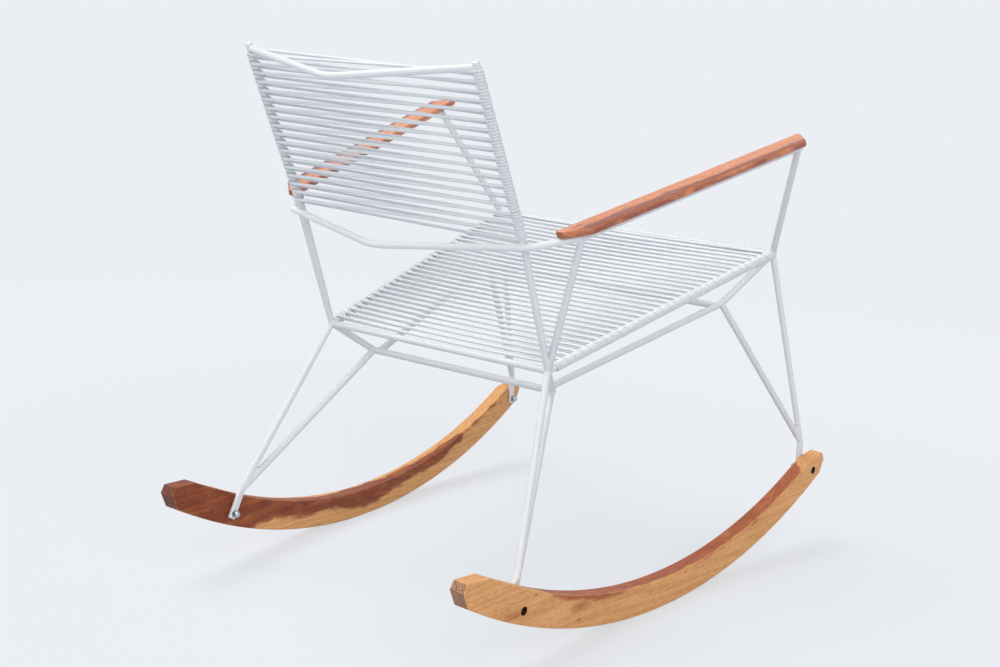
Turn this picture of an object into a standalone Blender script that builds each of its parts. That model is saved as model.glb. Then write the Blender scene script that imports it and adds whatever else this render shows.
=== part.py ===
"""String rocking chair: a welded steel rod frame wound with cord, on two wooden rockers.

The chair faces -Y and +Z is up, so the sitter's left is +X. Sizes are in metres. Depths are
counted backwards (+Y) from the rear seat bar, and heights from the floor. An empty carries the
whole chair, so that the origin lies on the floor below the middle of its outline.
"""
import math

import bmesh
import bpy
import numpy as np
from mathutils import Matrix, Vector

# Frame stock and weld clearances
ROD_DIAMETER = 0.0095
ROD_SIDES = 12
WELD_GAP = 0.0003
END_STUB = 0.005
BEND_STEP = math.radians(12)
SMOOTH_ANGLE = math.radians(40)

# Seat frame, measured between rod axes
SEAT_REAR_WIDTH = 0.387
SEAT_FRONT_WIDTH = 0.520
SEAT_DEPTH = 0.491
SEAT_REAR_HEIGHT = 0.3535
SEAT_FRONT_HEIGHT = 0.4745

# Lower frame, hung inside the seat frame on four corner struts
LOWER_REAR_WIDTH = 0.323
LOWER_FRONT_WIDTH = 0.443
LOWER_REAR_SETBACK = 0.059
LOWER_FRONT_SETBACK = 0.079
LOWER_REAR_DROP = 0.043
LOWER_FRONT_DROP = 0.075
LOWER_TEE_INSET = 0.011

# Back uprights, which lean further back above the arm rail, and the bowed top bar
BACK_RAIL_WIDTH = 0.384
BACK_RAIL_RISE = 0.175
BACK_RAIL_SETBACK = 0.0705
BACK_TOP_WIDTH = 0.378
BACK_TOP_RISE = 0.397
BACK_TOP_SETBACK = 0.1825
UPRIGHT_BEND_RADIUS = 0.120
TOP_BAR_DROP = 0.003
TOP_BAR_BOW = 0.054
TOP_BAR_DIP = 0.024
BOW_BEND_RADIUS = 0.060

# Arm and back rail: one rod from arm front round the back to the other arm front
RAIL_BOW = 0.060
RAIL_DIP = 0.0165
RAIL_BEND_REACH = 0.009
RAIL_BEND_RADIUS = 0.030
ARM_REAR_WIDTH = 0.499
ARM_REAR_RISE = 0.187
ARM_REAR_SETBACK = 0.024
ARM_FRONT_WIDTH = 0.661
ARM_FRONT_HEIGHT = 0.6455
ARM_FRONT_SETBACK = 0.092
ARM_RAIL_OVERHANG = 0.007

# Wooden armrests, laid on the arm rails and screwed from below
ARMREST_WIDTH = 0.036
ARMREST_THICKNESS = 0.0095
ARMREST_OFFSET = -0.0005
ARMREST_REAR_OVERHANG = 0.028
ARMREST_FRONT_OVERHANG = 0.0195
ARMREST_REAR_TAPER = 0.034
ARMREST_TIP_WIDTH = 0.007
ARMREST_TIP_CHAMFER = 0.005
ARMREST_FRONT_CHAMFER = 0.008
ARMREST_FRONT_CORNER = 0.0095
ARMREST_FRONT_SLANT = 0.023
ARMREST_EDGE = 0.002
ARMREST_EDGE_ANGLE = math.radians(30)
SCREW_DIAMETER = 0.0035
SCREW_LENGTH = 0.015
SCREW_HEAD_DIAMETER = 0.0075
SCREW_HEAD_HEIGHT = 0.0025
SCREW_INSETS = (0.090, 0.350)

# Rockers: arcs that toe out to the front, with a short flat where the chair rests
ROCKER_RADIUS = 0.890
ROCKER_THICKNESS = 0.024
ROCKER_REAR_HEIGHT = 0.0475
ROCKER_FRONT_HEIGHT = 0.0395
ROCKER_REST_SETBACK = -0.186
ROCKER_REACH = 0.471
ROCKER_FLAT = 0.050
ROCKER_TOP_FACET = 0.036
ROCKER_REAR_EASE = 0.060
ROCKER_REAR_EASE_DROP = 0.003
ROCKER_NOSE_TOP = 0.027
ROCKER_NOSE_LOW = 0.014
ROCKER_LOW_FACET = 0.020
ROCKER_EDGE = 0.002
ROCKER_EDGE_ANGLE = math.radians(60)
ROCKER_ARC_STEP = math.radians(2.5)

# Feet: the outer legs' flattened ends, bolted to the rockers' inner faces
REAR_FOOT_SPREAD = 0.503
FRONT_FOOT_SPREAD = 0.585
REAR_BOLT_SETBACK = 0.1375
REAR_BOLT_HEIGHT = 0.0805
FRONT_BOLT_SETBACK = -0.594
FRONT_BOLT_HEIGHT = 0.120
REAR_FOOT_LENGTH = 0.0355
FRONT_FOOT_LENGTH = 0.042
REAR_FOOT_LEAN = math.radians(27.5)
FRONT_FOOT_LEAN = math.radians(-1.5)
FOOT_TAIL = 0.008
FOOT_WIDTH = 0.0125
FOOT_THICKNESS = 0.006
FOOT_BEND_RADIUS = 0.020
FOOT_RAMP = 0.009
LEG_WELD_SETBACK = 0.013

# Bolts with a recessed head outside and a cap nut inside
BOLT_DIAMETER = 0.006
BOLT_CLEARANCE = 0.0003
BOLT_HEAD_DIAMETER = 0.010
BOLT_HEAD_HEIGHT = 0.006
BOLT_SOCKET_WIDTH = 0.005
BOLT_SOCKET_DEPTH = 0.003
COUNTERBORE_DIAMETER = 0.0115
COUNTERBORE_DEPTH = 0.012
NUT_WIDTH = 0.010
NUT_HEX_HEIGHT = 0.0045
NUT_DOME_DIAMETER = 0.0095
NUT_DOME_STEPS = 4
NUT_BORE_DEPTH = 0.0065
ROUND_SIDES = 16
HEX_FLATS = math.cos(math.pi / 6)

# Cord windings
CORD_DIAMETER = 0.005
CORD_POINTS = 16
CORD_SAMPLES = 6
CORD_NEAR = 4
SEAT_TURNS = 24
BACK_TURNS = 19
SEAT_CORD_REAR_START = 0.027
SEAT_CORD_FRONT_START = 0.034
BACK_CORD_LOW_START = 0.008
BACK_CORD_HIGH_START = 0.007

SIDES = {"left": 1, "right": -1}
UP = Vector((0, 0, 1))
ACROSS = Vector((1, 0, 0))

for leftover in list(bpy.data.objects):
    bpy.data.objects.remove(leftover)

chair = bpy.data.objects.new("chair", None)
bpy.context.scene.collection.objects.link(chair)


def material(name, colour, roughness, metallic=0.0):
    made = bpy.data.materials.new(name)
    made.use_nodes = True
    shader = made.node_tree.nodes["Principled BSDF"]
    shader.inputs["Base Color"].default_value = (*colour, 1.0)
    shader.inputs["Roughness"].default_value = roughness
    shader.inputs["Metallic"].default_value = metallic
    return made


PAINT = material("white_painted_steel", (0.80, 0.81, 0.83), 0.35)
CORD = material("white_pvc_cord", (0.84, 0.86, 0.89), 0.30)
ROCKER_WOOD = material("oiled_rocker_wood", (0.42, 0.22, 0.10), 0.45)
ARM_WOOD = material("oiled_armrest_wood", (0.52, 0.19, 0.07), 0.40)
ZINC = material("bright_zinc_steel", (0.70, 0.72, 0.74), 0.25, 1.0)


def add(name, data, finish):
    made = bpy.data.objects.new(name, data)
    bpy.context.scene.collection.objects.link(made)
    made.parent = chair
    data.materials.append(finish)
    return made


def mesh_from(bm, name):
    bmesh.ops.recalc_face_normals(bm, faces=bm.faces)
    mesh = bpy.data.meshes.new(name)
    bm.to_mesh(mesh)
    bm.free()
    mesh.shade_smooth()
    mesh.set_sharp_from_angle(angle=SMOOTH_ANGLE)
    return mesh


def cutter(name, mesh):
    """A hidden solid that trims its neighbours."""
    made = bpy.data.objects.new(name, mesh)
    bpy.context.scene.collection.objects.link(made)
    made.parent = chair
    made.hide_render = True
    made.display_type = "WIRE"
    return made


def cut(target, tool):
    trim = target.modifiers.new("cut_" + tool.name, "BOOLEAN")
    trim.operation = "DIFFERENCE"
    trim.solver = "EXACT"
    trim.object = tool


def basis(origin, x_axis, y_axis, z_axis):
    made = Matrix((x_axis, y_axis, z_axis)).transposed().to_4x4()
    made.translation = origin
    return made


def rounded(corners, radius):
    """The corner points as a path whose bends are arcs."""
    path = [corners[0]]
    for before, corner, after in zip(corners, corners[1:], corners[2:]):
        back = (before - corner).normalized()
        ahead = (after - corner).normalized()
        turn = math.pi - back.angle(ahead)
        centre = corner + (back + ahead).normalized() * (radius / math.cos(turn / 2))
        first = corner + back * (radius * math.tan(turn / 2)) - centre
        axis = back.cross(ahead) * -1
        steps = max(2, math.ceil(turn / BEND_STEP))
        for step in range(steps + 1):
            path.append(centre + Matrix.Rotation(turn * step / steps, 3, axis) @ first)
    path.append(corners[-1])
    return path


def sweep(name, path, diameter, reference, flats=None):
    """A round bar along the path. flats gives each ring's scale along and across the reference."""
    bm = bmesh.new()
    rings = []
    for index, place in enumerate(path):
        before = path[max(index - 1, 0)]
        after = path[min(index + 1, len(path) - 1)]
        along = (after - before).normalized()
        side = (reference - along * reference.dot(along)).normalized()
        frame = basis(place, side, along.cross(side), along)
        if flats:
            frame = frame @ Matrix.Diagonal((*flats[index], 1, 1))
        ring = bmesh.ops.create_circle(bm, segments=ROD_SIDES, radius=diameter / 2, matrix=frame)
        rings.append(ring["verts"])
    for low, high in zip(rings, rings[1:]):
        for index in range(ROD_SIDES):
            following = (index + 1) % ROD_SIDES
            bm.faces.new((low[index], low[following], high[following], high[index]))
    bm.faces.new(rings[0])
    bm.faces.new(rings[-1])
    return mesh_from(bm, name)


CLEARANCES = {}


def rod(name, path, neighbours=(), reference=UP, flats=None):
    """A frame rod, coped round the rods that it is welded to."""
    made = add(name, sweep(name, path, ROD_DIAMETER, reference, flats), PAINT)
    for neighbour in neighbours:
        cut(made, CLEARANCES[neighbour])
    first = path[0] + (path[0] - path[1]).normalized() * WELD_GAP
    last = path[-1] + (path[-1] - path[-2]).normalized() * WELD_GAP
    longer = [first, *path[1:-1], last]
    wide = sweep(name + "_clearance", longer, ROD_DIAMETER + 2 * WELD_GAP, reference, flats)
    CLEARANCES[name] = cutter(name + "_clearance", wide)
    return made


def towards(start, goal, distance):
    return start + (goal - start).normalized() * distance


def cylinder(name, diameter, depth, frame, sides=ROUND_SIDES):
    """A closed bar from the frame's origin along its Z axis."""
    bm = bmesh.new()
    shift = frame @ Matrix.Translation((0, 0, depth / 2))
    bmesh.ops.create_cone(bm, cap_ends=True, segments=sides, radius1=diameter / 2,
                          radius2=diameter / 2, depth=depth, matrix=shift)
    return mesh_from(bm, name)


def turned(name, profile, frame, sides=ROUND_SIDES):
    """A profile of (radius, height) points turned about the frame's Z axis."""
    bm = bmesh.new()
    rings = []
    for radius, height in profile:
        if radius:
            level = frame @ Matrix.Translation((0, 0, height))
            ring = bmesh.ops.create_circle(bm, segments=sides, radius=radius, matrix=level)
            rings.append(ring["verts"])
        else:
            rings.append([bm.verts.new(frame @ Vector((0, 0, height)))])
    for low, high in zip(rings, rings[1:]):
        for index in range(sides):
            following = (index + 1) % sides
            corners = [low[index % len(low)], low[following % len(low)],
                       high[following % len(high)], high[index % len(high)]]
            bm.faces.new(list(dict.fromkeys(corners)))
    for ring in (rings[0], rings[-1]):
        if len(ring) > 1:
            bm.faces.new(ring)
    return mesh_from(bm, name)


def plate(name, outline, frame, thickness):
    """A flat outline in the frame's XY plane, extruded along its Z axis."""
    bm = bmesh.new()
    base = bm.faces.new([bm.verts.new((x, y, 0)) for x, y in outline])
    grown = bmesh.ops.extrude_face_region(bm, geom=[base])
    lifted = [part for part in grown["geom"] if isinstance(part, bmesh.types.BMVert)]
    bmesh.ops.translate(bm, verts=lifted, vec=(0, 0, thickness))
    bmesh.ops.transform(bm, verts=bm.verts, matrix=frame)
    return mesh_from(bm, name)


def ease_edges(target, width, angle):
    bevel = target.modifiers.new("eased_edges", "BEVEL")
    bevel.width = width
    bevel.segments = 1
    bevel.limit_method = "ANGLE"
    bevel.angle_limit = angle


# Frame corners, for a side sign of +1 or -1
def seat_rear(side):
    return Vector((side * SEAT_REAR_WIDTH / 2, 0, SEAT_REAR_HEIGHT))


def seat_front(side):
    return Vector((side * SEAT_FRONT_WIDTH / 2, -SEAT_DEPTH, SEAT_FRONT_HEIGHT))


def lower_rear(side):
    drop = SEAT_REAR_HEIGHT - LOWER_REAR_DROP
    return Vector((side * LOWER_REAR_WIDTH / 2, -LOWER_REAR_SETBACK, drop))


def lower_front(side):
    drop = SEAT_FRONT_HEIGHT - LOWER_FRONT_DROP
    return Vector((side * LOWER_FRONT_WIDTH / 2, LOWER_FRONT_SETBACK - SEAT_DEPTH, drop))


def back_bend(side):
    rise = SEAT_REAR_HEIGHT + BACK_RAIL_RISE
    return Vector((side * BACK_RAIL_WIDTH / 2, BACK_RAIL_SETBACK, rise))


def back_top(side):
    rise = SEAT_REAR_HEIGHT + BACK_TOP_RISE
    return Vector((side * BACK_TOP_WIDTH / 2, BACK_TOP_SETBACK, rise))


def arm_rear(side):
    rise = SEAT_REAR_HEIGHT + ARM_REAR_RISE
    return Vector((side * ARM_REAR_WIDTH / 2, ARM_REAR_SETBACK, rise))


def arm_front(side):
    return Vector((side * ARM_FRONT_WIDTH / 2, ARM_FRONT_SETBACK - SEAT_DEPTH, ARM_FRONT_HEIGHT))


# Back uprights
for label, side in SIDES.items():
    foot_end = towards(seat_rear(side), back_bend(side), -END_STUB)
    top_end = towards(back_top(side), back_bend(side), -END_STUB)
    corners = [foot_end, back_bend(side), top_end]
    rod(f"upright_{label}", rounded(corners, UPRIGHT_BEND_RADIUS), reference=ACROSS)

# Top bar, bowed back at its middle
top_ends = {}
for label, side in SIDES.items():
    top_ends[label] = towards(back_top(side), back_bend(side), TOP_BAR_DROP)
top_middle = Vector((0, BACK_TOP_SETBACK + TOP_BAR_BOW, top_ends["left"].z - TOP_BAR_DIP))
rod("top_bar", rounded([top_ends["left"], top_middle, top_ends["right"]], BOW_BEND_RADIUS),
    ["upright_left", "upright_right"])


# Arm and back rail, welded behind the uprights
def rail_corners(side):
    outward = Vector((side * BACK_RAIL_WIDTH / 2, -RAIL_BOW, RAIL_DIP)).normalized()
    lean = (back_top(side) - seat_rear(side)).normalized()
    behind = lean.cross(outward).normalized() * side
    weld = back_bend(side) + behind * (ROD_DIAMETER + WELD_GAP)
    middle = weld - outward * (weld.x / outward.x)
    bend = weld + outward * RAIL_BEND_REACH
    return middle, bend


rail_middle, rail_left_bend = rail_corners(1)
rail_right_bend = rail_corners(-1)[1]
arm_ends = {}
for label, side in SIDES.items():
    arm_ends[label] = towards(arm_front(side), arm_rear(side), -ARM_RAIL_OVERHANG)
rail_path = [arm_ends["left"]]
rail_path += rounded([arm_front(1), arm_rear(1), rail_left_bend, (rail_left_bend + rail_middle) / 2],
                     RAIL_BEND_RADIUS)[1:-1]
rail_path += rounded([rail_left_bend, rail_middle, rail_right_bend], BOW_BEND_RADIUS)[1:-1]
rail_path += rounded([(rail_right_bend + rail_middle) / 2, rail_right_bend, arm_rear(-1), arm_front(-1)],
                     RAIL_BEND_RADIUS)[1:-1]
rail_path.append(arm_ends["right"])
arm_rail = rod("arm_back_rail", rail_path)

# Arm posts, seat rails and arm struts
for label, side in SIDES.items():
    post_foot = towards(seat_front(side), arm_front(side), -END_STUB)
    rod(f"arm_post_{label}", [post_foot, arm_front(side)], ["arm_back_rail"], ACROSS)
    rod(f"seat_rail_{label}", [seat_rear(side), seat_front(side)],
        [f"upright_{label}", f"arm_post_{label}"])
    rod(f"arm_strut_{label}", [seat_rear(side), arm_rear(side)],
        [f"upright_{label}", "arm_back_rail", f"seat_rail_{label}"], ACROSS)

# Seat cross bars
rod("seat_bar_rear", [seat_rear(1), seat_rear(-1)],
    [f"{part}_{label}" for label in SIDES for part in ("upright", "seat_rail", "arm_strut")])
rod("seat_bar_front", [seat_front(1), seat_front(-1)],
    [f"{part}_{label}" for label in SIDES for part in ("arm_post", "seat_rail")])

# Lower frame: the side bars butt on the rear bar, and the front bar butts on the side bars
rear_stub = Vector((END_STUB, 0, 0))
rod("lower_bar_rear", [lower_rear(1) + rear_stub, lower_rear(-1) - rear_stub])
front_tee = {}
for label, side in SIDES.items():
    rear_tee = lower_rear(side) - Vector((side * LOWER_TEE_INSET, 0, 0))
    front_tee[label] = towards(lower_front(side), rear_tee, LOWER_TEE_INSET)
    front_end = towards(lower_front(side), rear_tee, -END_STUB)
    rod(f"lower_bar_{label}", [rear_tee, front_end], ["lower_bar_rear"])
rod("lower_bar_front", [front_tee["left"], front_tee["right"]], ["lower_bar_left", "lower_bar_right"])


# Rockers stand in upright planes through the two bolts of a side
def rocker_frame(side):
    """X runs back along the rocker's inner face, Y up and Z out, from the point below the rest flat."""
    rear = Vector((side * REAR_FOOT_SPREAD / 2, REAR_BOLT_SETBACK, 0))
    front = Vector((side * FRONT_FOOT_SPREAD / 2, FRONT_BOLT_SETBACK, 0))
    along = (rear - front).normalized()
    out = (along.cross(UP) * side).normalized()
    rest = front + along * ((ROCKER_REST_SETBACK - front.y) / along.y)
    return basis(rest, along, UP, out)


def on_rocker(side, setback, height, stand_off=0.0):
    """The point at a depth and height, stand_off inside the rocker's inner face."""
    frame = rocker_frame(side)
    along = (setback - ROCKER_REST_SETBACK) / frame.col[0].y
    return frame @ Vector((along, height, -stand_off))


# Legs: each outer rod runs on as a flattened foot, each inner rod is welded into its flank
FOOT_STAND_OFF = FOOT_THICKNESS / 2 + WELD_GAP
FOOT_SCALES = (FOOT_THICKNESS / ROD_DIAMETER, FOOT_WIDTH / ROD_DIAMETER)
BOLT_BORE = BOLT_DIAMETER + 2 * BOLT_CLEARANCE
ENDS = {
    "rear": (seat_rear, lower_rear, REAR_BOLT_SETBACK, REAR_BOLT_HEIGHT, REAR_FOOT_LENGTH,
             REAR_FOOT_LEAN),
    "front": (seat_front, lower_front, FRONT_BOLT_SETBACK, FRONT_BOLT_HEIGHT, FRONT_FOOT_LENGTH,
              FRONT_FOOT_LEAN),
}
bolt_frames = {}
for end, (seat_corner, lower_corner, setback, height, length, lean) in ENDS.items():
    carrier = "upright" if end == "rear" else "arm_post"
    for label, side in SIDES.items():
        frame = rocker_frame(side)
        back = frame.col[0].to_3d()
        inward = -frame.col[2].to_3d()
        bolt = on_rocker(side, setback, height, FOOT_STAND_OFF)
        rise = (UP * math.cos(lean) - back * math.sin(lean)).normalized()
        ankle = bolt + rise * length
        toe = bolt - rise * FOOT_TAIL
        bent = rounded([seat_corner(side), ankle, toe], FOOT_BEND_RADIUS)
        ramp_start = towards(ankle, bent[0], FOOT_RAMP)
        ramp_end = towards(ankle, toe, FOOT_RAMP)
        path = [bent[0], ramp_start, *bent[1:-1], ramp_end, toe]
        flats = []
        for place in path:
            below = (ankle - place).dot(rise)
            share = min(max((below + FOOT_RAMP) / (2 * FOOT_RAMP), 0.0), 1.0)
            flats.append([1 + share * (scale - 1) for scale in FOOT_SCALES])
        seat_names = [f"{carrier}_{label}", f"seat_rail_{label}", f"seat_bar_{end}"]
        leg_name = f"leg_outer_{end}_{label}"
        leg = rod(leg_name, path, seat_names, inward, flats)
        bolt_frames[end, label] = basis(bolt, back, inward.cross(back), inward)
        bore_frame = bolt_frames[end, label] @ Matrix.Translation((0, 0, -FOOT_THICKNESS))
        bore = cylinder(f"foot_bore_{end}_{label}", BOLT_BORE, 2 * FOOT_THICKNESS, bore_frame)
        cut(leg, cutter(f"foot_bore_{end}_{label}", bore))
        lower_names = [f"lower_bar_{label}"]
        if end == "rear":
            lower_names.append("lower_bar_rear")
        strut_name = f"corner_strut_{end}_{label}"
        strut = [seat_corner(side), lower_corner(side)]
        rod(strut_name, strut, [*seat_names, leg_name, *lower_names], ACROSS)
        weld_end = towards(ankle, lower_corner(side), LEG_WELD_SETBACK)
        inner = [lower_corner(side), weld_end]
        rod(f"leg_inner_{end}_{label}", inner, [strut_name, leg_name, *lower_names], inward)


# Rocker outline: a rest flat, arcs to both ends, and noses cut with three facets
def rocker_point(travel, lift):
    """A point at an arc distance along the underside and a height square to it."""
    turn = travel / ROCKER_RADIUS
    radius = ROCKER_RADIUS - lift
    sink = ROCKER_RADIUS * (1 - math.cos(ROCKER_FLAT / 2 / ROCKER_RADIUS))
    return radius * math.sin(turn), ROCKER_RADIUS - sink - radius * math.cos(turn)


def rocker_height(travel):
    share = (travel + ROCKER_REACH) / (2 * ROCKER_REACH)
    return ROCKER_FRONT_HEIGHT + share * (ROCKER_REAR_HEIGHT - ROCKER_FRONT_HEIGHT)


def spaced(start, stop):
    steps = math.ceil(abs(stop - start) / ROCKER_RADIUS / ROCKER_ARC_STEP)
    return [start + (stop - start) * step / steps for step in range(steps + 1)]


front_low = -ROCKER_REACH + ROCKER_LOW_FACET
rear_low = ROCKER_REACH - ROCKER_LOW_FACET
underside = spaced(front_low, -ROCKER_FLAT / 2) + spaced(ROCKER_FLAT / 2, rear_low)
rear_shoulder = ROCKER_REACH - ROCKER_TOP_FACET
upper_side = spaced(rear_shoulder - ROCKER_REAR_EASE, ROCKER_TOP_FACET - ROCKER_REACH)
outline = [rocker_point(travel, 0) for travel in underside]
outline += [rocker_point(ROCKER_REACH, lift) for lift in (ROCKER_NOSE_LOW, ROCKER_NOSE_TOP)]
outline.append(rocker_point(rear_shoulder, rocker_height(rear_shoulder) - ROCKER_REAR_EASE_DROP))
outline += [rocker_point(travel, rocker_height(travel)) for travel in upper_side]
outline += [rocker_point(-ROCKER_REACH, lift) for lift in (ROCKER_NOSE_TOP, ROCKER_NOSE_LOW)]
for label, side in SIDES.items():
    frame = rocker_frame(side)
    board = plate(f"rocker_{label}", outline, frame, ROCKER_THICKNESS)
    rocker = add(f"rocker_{label}", board, ROCKER_WOOD)
    ease_edges(rocker, ROCKER_EDGE, ROCKER_EDGE_ANGLE)
    for end in ENDS:
        start = -FOOT_STAND_OFF - 2 * ROCKER_THICKNESS
        hole_frame = bolt_frames[end, label] @ Matrix.Translation((0, 0, start))
        hole = cylinder(f"rocker_bore_{end}_{label}", BOLT_BORE, 3 * ROCKER_THICKNESS, hole_frame)
        cut(rocker, cutter(f"rocker_bore_{end}_{label}", hole))
        depth = ROCKER_THICKNESS + COUNTERBORE_DEPTH
        pocket = cylinder(f"counterbore_{end}_{label}", COUNTERBORE_DIAMETER, depth, hole_frame)
        cut(rocker, cutter(f"counterbore_{end}_{label}", pocket))

# Bolts and cap nuts
for (end, label), frame in bolt_frames.items():
    seat_depth = FOOT_STAND_OFF + ROCKER_THICKNESS - COUNTERBORE_DEPTH
    head_face = -seat_depth - WELD_GAP
    nut_face = FOOT_THICKNESS / 2 + WELD_GAP
    tip = nut_face + NUT_BORE_DEPTH - WELD_GAP
    head = BOLT_HEAD_DIAMETER / 2
    shank = BOLT_DIAMETER / 2
    profile = [(head, head_face - BOLT_HEAD_HEIGHT), (head, head_face), (shank, head_face), (shank, tip)]
    bolt_name = f"rocker_bolt_{end}_{label}"
    bolt = add(bolt_name, turned(bolt_name, profile, frame), ZINC)
    socket_frame = frame @ Matrix.Translation((0, 0, head_face - 2 * BOLT_HEAD_HEIGHT))
    socket_depth = BOLT_HEAD_HEIGHT + BOLT_SOCKET_DEPTH
    socket_name = f"bolt_socket_{end}_{label}"
    socket = cylinder(socket_name, BOLT_SOCKET_WIDTH / HEX_FLATS, socket_depth, socket_frame, 6)
    cut(bolt, cutter(socket_name, socket))

    nut_frame = frame @ Matrix.Translation((0, 0, nut_face))
    nut_name = f"cap_nut_{end}_{label}"
    nut = add(nut_name, cylinder(nut_name, NUT_WIDTH / HEX_FLATS, NUT_HEX_HEIGHT, nut_frame, 6), ZINC)
    dome_radius = NUT_DOME_DIAMETER / 2
    dome_profile = [(dome_radius, NUT_HEX_HEIGHT / 2)]
    for step in range(NUT_DOME_STEPS):
        angle = math.pi / 2 * step / NUT_DOME_STEPS
        dome_profile.append((dome_radius * math.cos(angle), NUT_HEX_HEIGHT + dome_radius * math.sin(angle)))
    dome_profile.append((0, NUT_HEX_HEIGHT + dome_radius))
    dome_name = f"nut_dome_{end}_{label}"
    dome = cutter(dome_name, turned(dome_name, dome_profile, nut_frame))
    crown = nut.modifiers.new("dome", "BOOLEAN")
    crown.operation = "UNION"
    crown.solver = "EXACT"
    crown.object = dome
    thread_frame = nut_frame @ Matrix.Translation((0, 0, -NUT_BORE_DEPTH))
    thread = cylinder(f"nut_bore_{end}_{label}", BOLT_BORE, 2 * NUT_BORE_DEPTH, thread_frame)
    cut(nut, cutter(f"nut_bore_{end}_{label}", thread))

# Armrests, with their screws through the arm rail
for label, side in SIDES.items():
    along = (arm_front(side) - arm_rear(side)).normalized()
    out = (along.cross(UP) * -side).normalized()
    above = along.cross(out).normalized() * side
    underside_face = arm_rear(side) + above * (ROD_DIAMETER / 2 + WELD_GAP)
    frame = basis(underside_face, along, out, above)
    inner_edge = ARMREST_OFFSET - ARMREST_WIDTH / 2
    outer_edge = ARMREST_OFFSET + ARMREST_WIDTH / 2
    rear_tip = -ARMREST_REAR_OVERHANG
    front_tip = (arm_front(side) - arm_rear(side)).length + ARMREST_FRONT_OVERHANG
    outline = [
        (rear_tip + ARMREST_TIP_CHAMFER, inner_edge), (front_tip - ARMREST_FRONT_CHAMFER, inner_edge),
        (front_tip, inner_edge + ARMREST_FRONT_CORNER), (front_tip - ARMREST_FRONT_SLANT, outer_edge),
        (rear_tip + ARMREST_REAR_TAPER, outer_edge),
        (rear_tip, inner_edge + ARMREST_TIP_CHAMFER + ARMREST_TIP_WIDTH),
        (rear_tip, inner_edge + ARMREST_TIP_CHAMFER),
    ]
    board = plate(f"armrest_{label}", outline, frame, ARMREST_THICKNESS)
    armrest = add(f"armrest_{label}", board, ARM_WOOD)
    ease_edges(armrest, ARMREST_EDGE, ARMREST_EDGE_ANGLE)
    for number, inset in enumerate(SCREW_INSETS, 1):
        head_drop = ROD_DIAMETER + 2 * WELD_GAP + SCREW_HEAD_HEIGHT
        screw_frame = frame @ Matrix.Translation((inset, 0, -head_drop))
        head = SCREW_HEAD_DIAMETER / 2
        shank = SCREW_DIAMETER / 2
        profile = [(head * 3 / 4, 0), (head, SCREW_HEAD_HEIGHT / 2), (head, SCREW_HEAD_HEIGHT),
                   (shank, SCREW_HEAD_HEIGHT), (shank, SCREW_LENGTH), (0, SCREW_LENGTH + SCREW_DIAMETER)]
        screw_name = f"armrest_screw_{number}_{label}"
        add(screw_name, turned(screw_name, profile, screw_frame), ZINC)
        hole_depth = SCREW_LENGTH + SCREW_DIAMETER + WELD_GAP
        hole_width = SCREW_DIAMETER + 2 * BOLT_CLEARANCE
        hole = cylinder(f"screw_hole_{number}_{label}", hole_width, hole_depth, screw_frame)
        hole_cutter = cutter(f"screw_hole_{number}_{label}", hole)
        cut(armrest, hole_cutter)
        cut(arm_rail, hole_cutter)


# Cord windings: one unbroken tube round a pair of rods
def winding(name, left, right, turns):
    """left and right give the start and end of the wound stretch on each rod."""
    reach = ROD_DIAMETER / 2 + WELD_GAP + CORD_DIAMETER / 2
    half = CORD_POINTS // 2 - 1
    path = []
    for count in range(turns * CORD_POINTS + half):
        share = count / (turns * CORD_POINTS + half - 1)
        middles = [start.lerp(finish, share) for start, finish in (left, right)]
        outward = (middles[0] - middles[1]).normalized()
        lengthwise = (left[1] - left[0] + right[1] - right[0]).normalized()
        facing = outward.cross(lengthwise).normalized()
        facing *= math.copysign(1, facing.z)
        phase = count % CORD_POINTS
        if phase < half:
            angle = -math.pi / 2 + math.pi * phase / (half - 1)
            path.append(middles[0] + (outward * math.cos(angle) + facing * math.sin(angle)) * reach)
        elif phase == half:
            path.append((middles[0] + middles[1]) / 2 + facing * reach)
        elif phase < CORD_POINTS - 1:
            angle = math.pi / 2 - math.pi * (phase - half - 1) / (half - 1)
            path.append(middles[1] + (-outward * math.cos(angle) + facing * math.sin(angle)) * reach)
        else:
            path.append((middles[0] + middles[1]) / 2 - facing * reach)
    lead = (right[0] - left[0]).normalized() * CORD_DIAMETER
    path = [path[0] + lead, *path, path[-1] + lead]
    curve = bpy.data.curves.new(name, "CURVE")
    curve.dimensions = "3D"
    curve.bevel_depth = CORD_DIAMETER / 2
    curve.bevel_resolution = 1
    curve.use_fill_caps = True
    spline = curve.splines.new("POLY")
    spline.points.add(len(path) - 1)
    for point, place in zip(spline.points, path):
        point.co = (*place, 1)
    add(name, curve, CORD)
    print(f"{name}: least gap to itself {least_gap(path) * 1000:.2f} mm")


def least_gap(path):
    """The narrowest space between stretches of cord that aren't neighbours along it."""
    fine = np.array([start.lerp(finish, step / CORD_SAMPLES)
                     for start, finish in zip(path, path[1:]) for step in range(CORD_SAMPLES)])
    lengths = np.concatenate(([0], np.cumsum(np.linalg.norm(np.diff(fine, axis=0), axis=1))))
    least = math.inf
    for index in range(len(fine)):
        apart = lengths - lengths[index] > CORD_NEAR * CORD_DIAMETER
        if apart.any():
            least = min(least, np.linalg.norm(fine[apart] - fine[index], axis=1).min())
    return least - CORD_DIAMETER


def stretch(start, finish, start_gap, finish_gap):
    return towards(start, finish, start_gap), towards(finish, start, finish_gap)


seat_stretches = []
back_stretches = []
for side in SIDES.values():
    seat_gaps = SEAT_CORD_REAR_START, SEAT_CORD_FRONT_START
    seat_stretches.append(stretch(seat_rear(side), seat_front(side), *seat_gaps))
    back_gaps = BACK_CORD_LOW_START, BACK_CORD_HIGH_START
    back_stretches.append(stretch(back_bend(side), back_top(side), *back_gaps))
winding("seat_cord", *seat_stretches, SEAT_TURNS)
winding("back_cord", *back_stretches, BACK_TURNS)

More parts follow.
